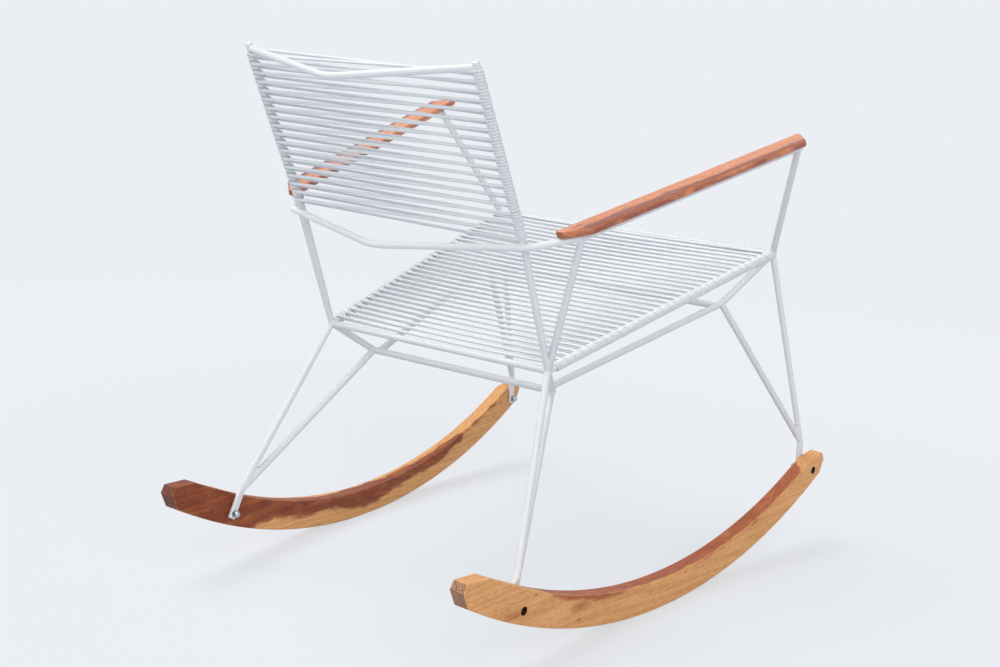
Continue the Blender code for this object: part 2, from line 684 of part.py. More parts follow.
# The origin goes below the middle of the rockers' outline
rocker_ends = []
for travel in (-ROCKER_REACH, ROCKER_REACH):
    for lift in (ROCKER_NOSE_LOW, ROCKER_NOSE_TOP):
        for depth in (0, ROCKER_THICKNESS):
            rocker_ends.append((rocker_frame(1) @ Vector((*rocker_point(travel, lift), depth))).y)
chair.location.y = -(min(rocker_ends) + max(rocker_ends)) / 2
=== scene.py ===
import math
import random

import bpy
from mathutils import Matrix, Vector


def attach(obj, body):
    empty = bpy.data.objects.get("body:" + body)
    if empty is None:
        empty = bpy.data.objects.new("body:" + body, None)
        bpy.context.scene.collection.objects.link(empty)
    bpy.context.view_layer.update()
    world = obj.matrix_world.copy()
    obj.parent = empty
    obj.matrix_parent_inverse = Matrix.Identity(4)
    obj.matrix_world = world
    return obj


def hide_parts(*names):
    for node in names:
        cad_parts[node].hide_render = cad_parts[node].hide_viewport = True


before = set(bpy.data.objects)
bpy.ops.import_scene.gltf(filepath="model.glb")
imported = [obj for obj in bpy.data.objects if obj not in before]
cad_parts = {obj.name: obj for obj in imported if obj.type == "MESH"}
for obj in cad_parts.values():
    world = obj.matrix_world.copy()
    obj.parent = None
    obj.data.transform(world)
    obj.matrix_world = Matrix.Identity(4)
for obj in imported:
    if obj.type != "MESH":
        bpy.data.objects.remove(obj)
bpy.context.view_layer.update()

# Back uprights: two round mild steel bars, cold bent where the back leans further over. They are
# cut square, eased with a file, welded to the seat frame, and sprayed white with the whole frame.
SIDES = {"left": 1, "right": -1}
BAR_DIAMETER = 0.0095
BAR_SIDES = 28
BEND_STEP = math.radians(5)
END_EASE = 0.0014
END_EASE_STEPS = 3
END_STUB = 0.005
BAR_CREASE = math.radians(40)
UPRIGHT_BEND_RADIUS = 0.120
SEAT_REAR = Vector((0.1935, 0.18533, 0.3535))
BACK_BEND = Vector((0.1920, 0.25583, 0.5285))
BACK_TOP = Vector((0.1890, 0.36783, 0.7505))
PAINT_WHITE = "#e9eaed"
PAINT_SHADE = "#e1e3e6"
PAINT_ROUGHNESS = 0.34
PAINT_CLOUD = 0.030
ORANGE_PEEL = 0.0022
ORANGE_PEEL_DEPTH = 0.000005


def linear(colour):
    """An sRGB hex colour as the linear values that a shader takes."""
    channels = [int(colour[start:start + 2], 16) / 255 for start in (1, 3, 5)]
    return [c / 12.92 if c <= 0.04045 else ((c + 0.055) / 1.055) ** 2.4 for c in channels] + [1.0]


def node(tree, kind, sockets=None, stops=(), **settings):
    """Adds a node with its settings, colour stops and sockets, which are filled or linked."""
    made = tree.nodes.new(kind)
    for setting, value in settings.items():
        setattr(made, setting, value)
    for number, (position, colour) in enumerate(stops):
        ends = made.color_ramp.elements
        stop = ends[number] if number < 2 else ends.new(position)
        stop.position = position
        stop.color = linear(colour)
    for socket, value in (sockets or {}).items():
        if isinstance(value, bpy.types.NodeSocket):
            tree.links.new(value, made.inputs[socket])
        else:
            made.inputs[socket].default_value = value
    return made


def new_material(name):
    """A material with its node tree and its surface shader."""
    made = bpy.data.materials.new(name)
    made.use_nodes = True
    return made, made.node_tree, made.node_tree.nodes["Principled BSDF"]


def sprayed_enamel():
    """White enamel sprayed on mild steel: half gloss, a faint orange peel and slight clouds of tone."""
    made, tree, surface = new_material("white_enamel_on_mild_steel")
    place = node(tree, "ShaderNodeTexCoord").outputs["Object"]
    cloud = node(tree, "ShaderNodeTexNoise", {"Vector": place, "Scale": 1 / PAINT_CLOUD, "Detail": 2})
    tone = node(tree, "ShaderNodeMix", {0: cloud.outputs["Fac"], 6: linear(PAINT_SHADE),
                                        7: linear(PAINT_WHITE)}, data_type="RGBA")
    peel = node(tree, "ShaderNodeTexNoise", {"Vector": place, "Scale": 1 / ORANGE_PEEL, "Detail": 1})
    relief = node(tree, "ShaderNodeBump", {"Height": peel.outputs["Fac"], "Distance": ORANGE_PEEL_DEPTH})
    tree.links.new(tone.outputs[2], surface.inputs["Base Color"])
    tree.links.new(relief.outputs["Normal"], surface.inputs["Normal"])
    surface.inputs["Roughness"].default_value = PAINT_ROUGHNESS
    return made


def on_side(side, point):
    return Vector((side * point.x, point.y, point.z))


def towards(start, goal, distance):
    return start + (goal - start).normalized() * distance


def bar(name, corners, radii=(), rings=1):
    """A disc at the first corner, drawn out along each run, spun round each bend, with eased ends."""
    heading = (corners[1] - corners[0]).normalized()
    place = corners[0]
    bpy.ops.object.select_all(action="DESELECT")
    bpy.ops.mesh.primitive_circle_add(vertices=BAR_SIDES, radius=BAR_DIAMETER / 2, fill_type="NGON",
                                      enter_editmode=True, location=place,
                                      rotation=heading.to_track_quat("Z", "Y").to_euler())
    for corner, following, radius in zip(corners[1:], corners[2:], radii):
        ahead = (following - corner).normalized()
        turn = heading.angle(ahead)
        reach = radius * math.tan(turn / 2)
        axis = heading.cross(ahead).normalized()
        bend_start = corner - heading * reach
        bpy.ops.mesh.extrude_region_move(TRANSFORM_OT_translate={"value": bend_start - place})
        bpy.ops.mesh.spin(steps=math.ceil(turn / BEND_STEP), angle=-turn, axis=axis,
                          center=bend_start + axis.cross(heading) * radius)
        place = corner + ahead * reach
        heading = ahead
    for _ in range(rings):
        bpy.ops.mesh.extrude_region_move(TRANSFORM_OT_translate={"value": (corners[-1] - place) / rings})
    bpy.ops.mesh.select_face_by_sides(number=BAR_SIDES)
    bpy.ops.mesh.bevel(offset=END_EASE, segments=END_EASE_STEPS, affect="EDGES")
    bpy.ops.mesh.select_all(action="SELECT")
    bpy.ops.mesh.normals_make_consistent(inside=False)
    bpy.ops.object.mode_set(mode="OBJECT")
    bpy.ops.object.transform_apply(location=True, rotation=True, scale=True)
    bpy.ops.object.shade_smooth_by_angle(angle=BAR_CREASE)
    made = bpy.context.object
    made.name = name
    return made


def fit(piece, finish, slot, *nodes):
    """Gives a piece its finish and fixes it to the chair, in place of the solids that it stands for."""
    piece.data.materials.clear()
    piece.data.materials.append(finish)
    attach(piece, "root")
    if nodes:
        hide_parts(*nodes)


enamel = sprayed_enamel()
for label, side in SIDES.items():
    bend = on_side(side, BACK_BEND)
    foot = towards(on_side(side, SEAT_REAR), bend, -END_STUB)
    top = towards(on_side(side, BACK_TOP), bend, -END_STUB)
    upright = bar(f"painted_upright_{label}", [foot, bend, top], [UPRIGHT_BEND_RADIUS])
    fit(upright, enamel, "white_painted_steel", f"upright_{label}")

# Top bar: one bar bent back at its middle, so that a neck clears it. Its ends butt on the
# uprights just below their tips.
TOP_BAR_END = Vector((0.18904, 0.36648, 0.74782))
TOP_BAR_MIDDLE = Vector((0, 0.42183, 0.72382))
BOW_BEND_RADIUS = 0.060
top_corners = [TOP_BAR_END, TOP_BAR_MIDDLE, on_side(-1, TOP_BAR_END)]
fit(bar("painted_top_bar", top_corners, [BOW_BEND_RADIUS]), enamel, "white_painted_steel", "top_bar")

# Arm and back rail: a single bar that runs from one arm front, behind both uprights, to the other
# arm front. It is bent five times and welded where it crosses the uprights.
ARM_FRONT = Vector((0.3305, -0.21367, 0.6455))
ARM_REAR = Vector((0.2495, 0.20933, 0.5405))
RAIL_OVERHANG = 0.007
RAIL_END = towards(ARM_FRONT, ARM_REAR, -RAIL_OVERHANG)
RAIL_BEND = Vector((0.20355, 0.26165, 0.52537))
RAIL_MIDDLE = Vector((0, 0.32526, 0.50787))
RAIL_BEND_RADIUS = 0.030
rail_corners = [RAIL_END, ARM_REAR, RAIL_BEND, RAIL_MIDDLE]
rail_corners += [on_side(-1, corner) for corner in (RAIL_BEND, ARM_REAR, RAIL_END)]
rail_radii = [RAIL_BEND_RADIUS, RAIL_BEND_RADIUS, BOW_BEND_RADIUS, RAIL_BEND_RADIUS, RAIL_BEND_RADIUS]
rail = bar("painted_arm_and_back_rail", rail_corners, rail_radii)
fit(rail, enamel, "white_painted_steel", "arm_back_rail")

# Seat frame and arm supports: straight bars. The posts and struts carry the arm rail, the rails
# and cross bars make the seat's outline, and all of them meet at the four seat corners.
SEAT_FRONT = Vector((0.2600, -0.30567, 0.4745))
for label, side in SIDES.items():
    rear = on_side(side, SEAT_REAR)
    front = on_side(side, SEAT_FRONT)
    arm_front = on_side(side, ARM_FRONT)
    straight = {
        "arm_post": (towards(front, arm_front, -END_STUB), arm_front),
        "arm_strut": (rear, on_side(side, ARM_REAR)),
        "seat_rail": (rear, front),
    }
    for part, run in straight.items():
        fit(bar(f"painted_{part}_{label}", run), enamel, "white_painted_steel", f"{part}_{label}")
for end, corner in (("rear", SEAT_REAR), ("front", SEAT_FRONT)):
    cross_bar = bar(f"painted_seat_bar_{end}", [corner, on_side(-1, corner)])
    fit(cross_bar, enamel, "white_painted_steel", f"seat_bar_{end}")

# Lower frame: a second, smaller frame of straight bars that hangs below the seat on four corner
# struts and braces the legs. The bars overrun their welds by a few millimetres.
LOWER_REAR = Vector((0.1615, 0.12633, 0.3105))
LOWER_FRONT = Vector((0.2215, -0.22667, 0.3995))
TEE_INSET = 0.011
rear_tee = LOWER_REAR - Vector((TEE_INSET, 0, 0))
front_tee = towards(LOWER_FRONT, rear_tee, TEE_INSET)
stub = Vector((END_STUB, 0, 0))
cross_runs = {"rear": LOWER_REAR + stub, "front": front_tee}
for end, corner in cross_runs.items():
    cross_bar = bar(f"painted_lower_bar_{end}", [corner, on_side(-1, corner)])
    fit(cross_bar, enamel, "white_painted_steel", f"lower_bar_{end}")
for label, side in SIDES.items():
    run = [on_side(side, rear_tee), on_side(side, towards(LOWER_FRONT, rear_tee, -END_STUB))]
    fit(bar(f"painted_lower_bar_{label}", run), enamel, "white_painted_steel", f"lower_bar_{label}")
    for end, upper, lower in (("rear", SEAT_REAR, LOWER_REAR), ("front", SEAT_FRONT, LOWER_FRONT)):
        strut_name = f"corner_strut_{end}_{label}"
        strut = bar(f"painted_{strut_name}", [on_side(side, upper), on_side(side, lower)])
        fit(strut, enamel, "white_painted_steel", strut_name)

# Legs: at each corner an outer bar, bent at the ankle and hammered flat to a foot with a bolt
# hole, and an inner bar from the lower frame that is welded into its flank above the ankle.
ANKLES = {"rear": Vector((0.24912, 0.30628, 0.11199)), "front": Vector((0.28914, -0.40776, 0.16199))}
BOLTS = {"rear": Vector((0.24821, 0.32264, 0.0805)), "front": Vector((0.28921, -0.40886, 0.1200))}
ROCKER_OUT = Vector((0.99843, 0.05596, 0))
FOOT_TAIL = 0.008
FOOT_WIDTH = 0.0125
FOOT_THICKNESS = 0.006
FOOT_RAMP = 0.010
FOOT_BEND_RADIUS = 0.020
FOOT_RINGS = 12
BOLT_BORE = 0.0066
BORE_SIDES = 32
LEG_WELD_SETBACK = 0.013


def flatten_foot(leg, ankle, rise, out):
    """Presses the bar between two flat faces below the ankle, where it spreads in width."""
    across = rise.cross(out).normalized()
    for vertex in leg.data.vertices:
        place = vertex.co - ankle
        below = -place.dot(rise)
        share = min(max((below + FOOT_RAMP) / (2 * FOOT_RAMP), 0.0), 1.0)
        share = share * share * (3 - 2 * share)
        if share:
            depth = place.dot(out)
            limit = BAR_DIAMETER / 2 + share * (FOOT_THICKNESS - BAR_DIAMETER) / 2
            pressed = depth * limit / (BAR_DIAMETER / 2)
            if below > 0:
                pressed = max(-limit, min(limit, depth))
            spread = place.dot(across) * share * (FOOT_WIDTH / BAR_DIAMETER - 1)
            vertex.co += out * (pressed - depth) + across * spread


def bore_hole(piece, place, axis, diameter, length):
    """Drills a round hole with a hidden cutter that is removed afterwards."""
    bpy.ops.object.select_all(action="DESELECT")
    bpy.ops.mesh.primitive_cylinder_add(vertices=BORE_SIDES, radius=diameter / 2, depth=length,
                                        location=place,
                                        rotation=axis.to_track_quat("Z", "Y").to_euler())
    drill = bpy.context.object
    bpy.context.view_layer.objects.active = piece
    bpy.ops.object.modifier_add(type="BOOLEAN")
    piece.modifiers[-1].object = drill
    bpy.ops.object.modifier_apply(modifier=piece.modifiers[-1].name)
    bpy.data.objects.remove(drill)


for label, side in SIDES.items():
    out = on_side(side, ROCKER_OUT)
    for end, upper, lower in (("rear", SEAT_REAR, LOWER_REAR), ("front", SEAT_FRONT, LOWER_FRONT)):
        ankle = on_side(side, ANKLES[end])
        bolt = on_side(side, BOLTS[end])
        rise = (ankle - bolt).normalized()
        corners = [on_side(side, upper), ankle, bolt - rise * FOOT_TAIL]
        leg = bar(f"painted_leg_outer_{end}_{label}", corners, [FOOT_BEND_RADIUS], FOOT_RINGS)
        flatten_foot(leg, ankle, rise, out)
        bore_hole(leg, bolt, out, BOLT_BORE, 2 * BAR_DIAMETER)
        fit(leg, enamel, "white_painted_steel", f"leg_outer_{end}_{label}")
        weld_end = towards(ankle, on_side(side, lower), LEG_WELD_SETBACK)
        inner = bar(f"painted_leg_inner_{end}_{label}", [on_side(side, lower), weld_end])
        fit(inner, enamel, "white_painted_steel", f"leg_inner_{end}_{label}")

# Welds: beads run round every joint, ground smooth and painted over, so that each crease is a
# soft fillet and the bars seem to grow out of one knot.
WELD_REACH = 0.020
WELD_ANKLE_REACH = 0.050
WELD_SWELL = 0.0001
WELD_VOXEL = 0.0008
WELD_MELT = 40
RAIL_CROSSING = Vector((0.19495, 0.26433, 0.52463))


def weld(name, joints):
    """Stubs along the bars of a joint, melted into one knot that stands out only in the creases."""
    bpy.ops.object.select_all(action="DESELECT")
    stubs = []
    for start, goal, reach in joints:
        run = towards(start, goal, reach) - start
        bpy.ops.mesh.primitive_cylinder_add(vertices=BAR_SIDES, radius=BAR_DIAMETER / 2 + WELD_SWELL,
                                            depth=reach, location=start + run / 2,
                                            rotation=run.to_track_quat("Z", "Y").to_euler())
        stubs.append(bpy.context.object)
    for piece in stubs:
        piece.select_set(True)
    bpy.ops.object.join()
    bpy.ops.object.transform_apply(location=True, rotation=True, scale=True)
    knot = bpy.context.object
    knot.name = name
    bpy.ops.object.modifier_add(type="REMESH")
    knot.modifiers[-1].voxel_size = WELD_VOXEL
    bpy.ops.object.modifier_apply(modifier=knot.modifiers[-1].name)
    bpy.ops.object.modifier_add(type="SMOOTH")
    knot.modifiers[-1].iterations = WELD_MELT
    bpy.ops.object.modifier_apply(modifier=knot.modifiers[-1].name)
    bpy.ops.object.shade_smooth()
    fit(knot, enamel, "white_painted_steel")


weld_joints = {
    "seat_rear": [(SEAT_REAR, goal, WELD_REACH) for goal in
                  (BACK_BEND, SEAT_FRONT, ARM_REAR, on_side(-1, SEAT_REAR), LOWER_REAR, ANKLES["rear"])],
    "seat_front": [(SEAT_FRONT, goal, WELD_REACH) for goal in
                   (ARM_FRONT, SEAT_REAR, on_side(-1, SEAT_FRONT), LOWER_FRONT, ANKLES["front"])],
    "lower_rear": [(LOWER_REAR + stub, rear_tee, 2 * WELD_REACH), (rear_tee, front_tee, WELD_REACH)]
                  + [(LOWER_REAR, goal, WELD_REACH) for goal in (SEAT_REAR, ANKLES["rear"])],
    "lower_front": [(towards(LOWER_FRONT, rear_tee, -END_STUB), rear_tee, 2 * WELD_REACH),
                    (front_tee, on_side(-1, front_tee), WELD_REACH)]
                   + [(LOWER_FRONT, goal, WELD_REACH) for goal in (SEAT_FRONT, ANKLES["front"])],
    "rail_crossing": [(BACK_BEND, goal, WELD_REACH) for goal in (SEAT_REAR, BACK_TOP)]
                     + [(RAIL_CROSSING, RAIL_MIDDLE, WELD_REACH),
                        (RAIL_CROSSING, RAIL_BEND, WELD_REACH / 2)],
    "strut_top": [(ARM_REAR, goal, WELD_REACH) for goal in (SEAT_REAR, ARM_FRONT, RAIL_BEND)],
    "post_top": [(ARM_FRONT, SEAT_FRONT, WELD_REACH), (RAIL_END, ARM_REAR, 2 * WELD_REACH)],
    "top_corner": [(BACK_TOP, BACK_BEND, WELD_REACH), (TOP_BAR_END, TOP_BAR_MIDDLE, WELD_REACH)],
    "ankle_rear": [(ANKLES["rear"], goal, WELD_ANKLE_REACH) for goal in (SEAT_REAR, LOWER_REAR)],
    "ankle_front": [(ANKLES["front"], goal, WELD_ANKLE_REACH) for goal in (SEAT_FRONT, LOWER_FRONT)],
}
for place, joints in weld_joints.items():
    for label, side in SIDES.items():
        sided = [(on_side(side, start), on_side(side, goal), reach) for start, goal, reach in joints]
        weld(f"weld_{place}_{label}", sided)

# Cords: two unbroken lengths of white extruded PVC cord, wound by hand round the seat rails and round
# the uprights. At each bar the cord takes extra turns, pulled flat, which cover the bar.
CORD_DIAMETER = 0.0044
CORD_FLATTENED = 0.0022
CORD_SEATING = 0.0001
CORD_STEP = math.radians(15)
CORD_RUN_STEPS = 12
CORD_ROUNDING = 0.009
CORD_BEVEL_STEPS = 4
CORD_WANDER = 0.00025
CORD_END_GAIN = 0.25
SEAT_WINDING = {"first": 0.0316, "pitch": 0.01556, "turns": 30, "passes": 3, "advance": (1.0, 1.0),
                "slant": -0.18, "sag": 0.003, "tied_turns": 2.5, "tied_gain": -1.0}
BACK_WINDING = {"first": 0.0171, "pitch": 0.01305, "turns": 17, "passes": 3, "advance": (1.2, 0.8),
                "slant": -0.66, "sag": 0.0, "tied_turns": 0.25, "tied_gain": 0.0}
SEAT_SEED = 3
BACK_SEED = 5
CORD_WHITE = "#e7eaed"
CORD_SHADE = "#dfe2e6"
CORD_ROUGHNESS = 0.36
CORD_MILKINESS = 0.35
CORD_GLOW_DEPTH = 0.003
CORD_CLOUD = 0.045
CORD_RIPPLE = 0.004
CORD_RIPPLE_DEPTH = 0.00006


def extruded_pvc():
    """Extruded PVC: milky white, half gloss, with a slight ripple and patches dulled by handling."""
    made, tree, surface = new_material("white_extruded_pvc")
    place = node(tree, "ShaderNodeTexCoord").outputs["Object"]
    cloud = node(tree, "ShaderNodeTexNoise", {"Vector": place, "Scale": 1 / CORD_CLOUD, "Detail": 3})
    tone = node(tree, "ShaderNodeMix", {0: cloud.outputs["Fac"], 6: linear(CORD_SHADE),
                                        7: linear(CORD_WHITE)}, data_type="RGBA")
    ripple = node(tree, "ShaderNodeTexNoise", {"Vector": place, "Scale": 1 / CORD_RIPPLE, "Detail": 1})
    relief = node(tree, "ShaderNodeBump", {"Height": ripple.outputs["Fac"], "Distance": CORD_RIPPLE_DEPTH})
    tree.links.new(tone.outputs[2], surface.inputs["Base Color"])
    tree.links.new(relief.outputs["Normal"], surface.inputs["Normal"])
    surface.inputs["Roughness"].default_value = CORD_ROUGHNESS
    surface.inputs["Subsurface Weight"].default_value = CORD_MILKINESS
    surface.inputs["Subsurface Radius"].default_value = (1, 1, 1)
    surface.inputs["Subsurface Scale"].default_value = CORD_GLOW_DEPTH
    return made


def winding_path(low, high, chance, first, pitch, turns, passes, advance, slant, sag, tied_turns,
                 tied_gain):
    """The route of a cord wound round a left bar and its mirror image, upwards from the low end.

    Lengths along the bars are counted in pitches from the first arrival at the left bar. Each point
    of the route has its place and, where the cord lies on a bar, the ways out from it and along it.
    """
    reach = (BAR_DIAMETER + CORD_FLATTENED) / 2 + CORD_SEATING
    bar_run = (high - low).normalized()
    facing = bar_run.cross(Vector((1, 0, 0))).normalized()
    facing *= math.copysign(1, facing.z)
    left_advance, right_advance = advance
    full_wrap = math.pi * (2 * passes - 1)
    path = []

    def wrap(side, start, gain, angle, sweep, outer_passes=1):
        """Lays the cord across to a bar and round it by an angle, while it gains a way along the bar."""
        quarter = math.pi / 2 / abs(sweep)
        between = math.copysign(1 - 1 / outer_passes, gain)
        edge = (gain - between) / 2
        drift = chance.uniform(-CORD_WANDER, CORD_WANDER)
        steps = math.ceil(abs(sweep) / CORD_STEP)
        points = []
        for step in range(steps + 1):
            share = step / steps
            inner = min(max((share - quarter) / max(1 - 2 * quarter, quarter), 0), 1)
            way = edge * min(share / quarter, 1) + between * inner
            way += edge * max((share - 1) / quarter + 1, 0)
            middle = low + bar_run * (first + (start + way) * pitch + drift)
            turned = angle + sweep * share
            spoke = Vector((math.cos(turned), 0, 0)) + facing * math.sin(turned)
            place = on_side(side, middle + spoke * reach)
            points.append((place, on_side(side, spoke), on_side(side, bar_run)))
        if path:
            start_place, goal_place = path[-1][0], points[0][0]
            ends = CORD_ROUNDING / (goal_place - start_place).length
            for step in range(CORD_RUN_STEPS + 1):
                share = ends + (1 - 2 * ends) * step / CORD_RUN_STEPS
                drop = Vector((0, 0, 4 * sag * share * (1 - share)))
                path.append((start_place.lerp(goal_place, share) - drop, None, None))
        path.extend(points)

    # Tied on the right bar, once round the left one, then turn after turn, and half round the left bar.
    top = math.pi / 2
    tied = 2 * math.pi * tied_turns
    wrap(-1, left_advance - 2 + slant - tied_gain, tied_gain, top - tied, tied, math.ceil(tied_turns))
    wrap(1, left_advance - 2, 1, top, -2 * math.pi)
    wrap(-1, left_advance - 1 + slant, right_advance, top, -full_wrap, passes)
    for turn in range(turns):
        wrap(1, turn, left_advance, -top, full_wrap, passes)
        wrap(-1, turn + left_advance + slant, right_advance, top, -full_wrap, passes)
    wrap(1, turns, CORD_END_GAIN, -top, math.pi)
    return path


def wound_cord(name, path, width):
    """A cord swept along a path: round on its runs, drawn flat and to a width where it lies on a bar."""
    curve = bpy.data.curves.new(name, "CURVE")
    curve.dimensions = "3D"
    curve.bevel_depth = CORD_DIAMETER / 2
    curve.bevel_resolution = CORD_BEVEL_STEPS
    curve.use_fill_caps = True
    spline = curve.splines.new("POLY")
    spline.points.add(len(path) - 1)
    for point, (place, _, _) in zip(spline.points, path):
        point.co = (*place, 1)
    made = bpy.data.objects.new(name, curve)
    bpy.context.scene.collection.objects.link(made)
    bpy.ops.object.select_all(action="DESELECT")
    made.select_set(True)
    bpy.context.view_layer.objects.active = made
    bpy.ops.object.convert(target="MESH")
    made = bpy.context.object
    # The converted mesh lists its two end caps first, the last one before the first one.
    rings = [path[-1], path[0]] + path
    corners = len(made.data.vertices) // len(rings)
    for vertex in made.data.vertices:
        place, spoke, along = rings[vertex.index // corners]
        if spoke:
            offset = vertex.co - place
            flatter = offset.dot(spoke) * (CORD_FLATTENED / CORD_DIAMETER - 1)
            wider = offset.dot(along) * (width / CORD_DIAMETER - 1)
            vertex.co += spoke * flatter + along * wider
    bpy.ops.object.shade_smooth()
    length = sum((finish[0] - start[0]).length for start, finish in zip(path, path[1:]))
    print(f"{name}: {length:.2f} m of cord")
    return made


pvc = extruded_pvc()
seat_path = winding_path(SEAT_REAR, SEAT_FRONT, random.Random(SEAT_SEED), **SEAT_WINDING)
seat_cord = wound_cord("wound_seat_cord", seat_path, SEAT_WINDING["pitch"] / SEAT_WINDING["passes"])
fit(seat_cord, pvc, "white_pvc_cord", "seat_cord")
back_path = winding_path(BACK_BEND, BACK_TOP, random.Random(BACK_SEED), **BACK_WINDING)
back_cord = wound_cord("wound_back_cord", back_path, BACK_WINDING["pitch"] / BACK_WINDING["passes"])
fit(back_cord, pvc, "white_pvc_cord", "back_cord")

# Rockers: two curved boards sawn from golden planks with a brown heart and shaped by hand, with flat
# facets at the ends and eased edges. Each is drilled for two bolts, whose heads sink into the outside.
ROCKER_PLACE = Vector((0.26963, -0.00067, 0))
ROCKER_TURN = math.atan2(ROCKER_OUT.x, -ROCKER_OUT.y)
ROCKER_RADIUS = 0.890
ROCKER_THICKNESS = 0.024
ROCKER_REAR_HEIGHT = 0.0475
ROCKER_FRONT_HEIGHT = 0.0395
ROCKER_REACH = 0.471
ROCKER_FLAT = 0.050
ROCKER_TOP_FACET = 0.036
ROCKER_REAR_EASE = 0.060
ROCKER_REAR_EASE_DROP = 0.003
ROCKER_NOSE_TOP = 0.027
ROCKER_NOSE_LOW = 0.014
ROCKER_LOW_FACET = 0.020
ROCKER_STEPS = 471
ARC_CENTRE = Vector((0, 0, ROCKER_RADIUS * math.cos(ROCKER_FLAT / 2 / ROCKER_RADIUS)))
ROCKER_EDGE = 0.002
ROCKER_EDGE_STEPS = 6
ROCKER_EDGE_ANGLE = math.radians(80)
ROCKER_FACET_EDGE = 0.0006
ROCKER_FACET_STEPS = 2
ROCKER_FACET_ANGLE = math.radians(18)
ROCKER_CREASE = math.radians(25)
COUNTERBORE_DIAMETER = 0.0115
COUNTERBORE_DEPTH = 0.012
GOLDEN_WOOD = ("#c88a53", "#e3a466", "#f2ba81")
# Painted sheen: the right rocker's brown ramp is lighter and more orange than the left's, for the sky
# reflected off its top face. Its end and worn colours are lighter too.
ROCKER_WOODS = {
    "left": {"pale": GOLDEN_WOOD, "brown": ("#60280f", "#8a4120", "#b56a3b"),
             "end": ("#4a2416", "#6b3824", "#915b3b"), "worn": "#bd774a"},
    "right": {"pale": GOLDEN_WOOD, "brown": ("#8a4526", "#ad5c35", "#cb7f50"),
              "end": ("#6f4d38", "#9c7053", "#cd9f78"), "worn": "#eab676"},
}
HEART_DEPTH = 0.8
ROCKER_HEARTS = {
    "left": ((-0.47, 0.95), (-0.29, 0.95), (-0.27, 0.75), (-0.2, 0.60), (-0.06, 0.58), (-0.02, 0.33),
             (0.04, 0.33), (0.1, 0.5), (0.24, 0.45), (0.3, -0.2), (0.47, -0.2)),
    "right": ((-0.47, 1.2), (-0.43, 1.2), (-0.4, 0.2), (0.1, 0.2), (0.15, 0.02), (0.24, 0.02), (0.29, 0.2),
              (0.33, 1.2), (0.47, 1.2)),
}
ROCKER_MARKS = {
    "left": (((-0.379, 0, 0.117), (0.004, 1, 0.003)),),
    "right": (((-0.049, 0, 0.038), (0.0035, 1, 0.0028)), ((0.301, 0, 0.096), (0.004, 1, 0.003)),
              ((0.204, 0, 0.055), (0.030, 1, 0.010)), ((0.345, 0, 0.080), (0.040, 1, 0.009)),
              ((0.205, 0, 0.036), (0.008, 1, 0.0035))),
}
# Painted shade: a near-black brown coloured into the counterbores and a thin ring round their mouths.
BORE_PAINTED_SHADE = "#2e1a10"
GRAIN_DRIFT = (0.050, 0.018)
GRAIN_STREAK = (0.080, 0.0035)
GRAIN_FIBRE = (0.009, 0.0020)
GRAIN_PORE = (0.006, 0.0005)
GRAIN_DETAIL = 3
GRAIN_WARP = 0.4
GRAIN_DEPTH = 0.00025
RING_WIDTH = 0.0042
WAVE_PERIOD = 0.314
RING_WARP = 7
RING_STRETCH = (0.05, 1.0, 1.0)
RING_TILT = (0, math.radians(28), math.radians(20))
PITH = (0, 0.045, -0.060)
STREAK_SHARE = 0.75
FIBRE_SHARE = 0.55
DRIFT_SHARE = 0.5
TONE_STOPS = (0.3, 0.5, 0.7)
HEART_DRIFT = 0.7
HEART_STREAK = 0.2
HEART_BORDER = (0.34, 0.56)
MARK_FRAY = 0.8
MARK_BORDER = (1.4, 0.5)
MARK_STRENGTH = 0.75
RUBBED_BORDER = (0.03, 0.13)
RUBBED_STRENGTH = 0.6
SAWN_BORDER = (0.72, 0.85)
PORE_BORDER = (0.56, 0.70)
PORE_STRENGTH = 0.32
BORE_RIM = 1.12
OIL_SHINE = 0.3
OIL_ROUGHNESS = (0.40, 0.62)


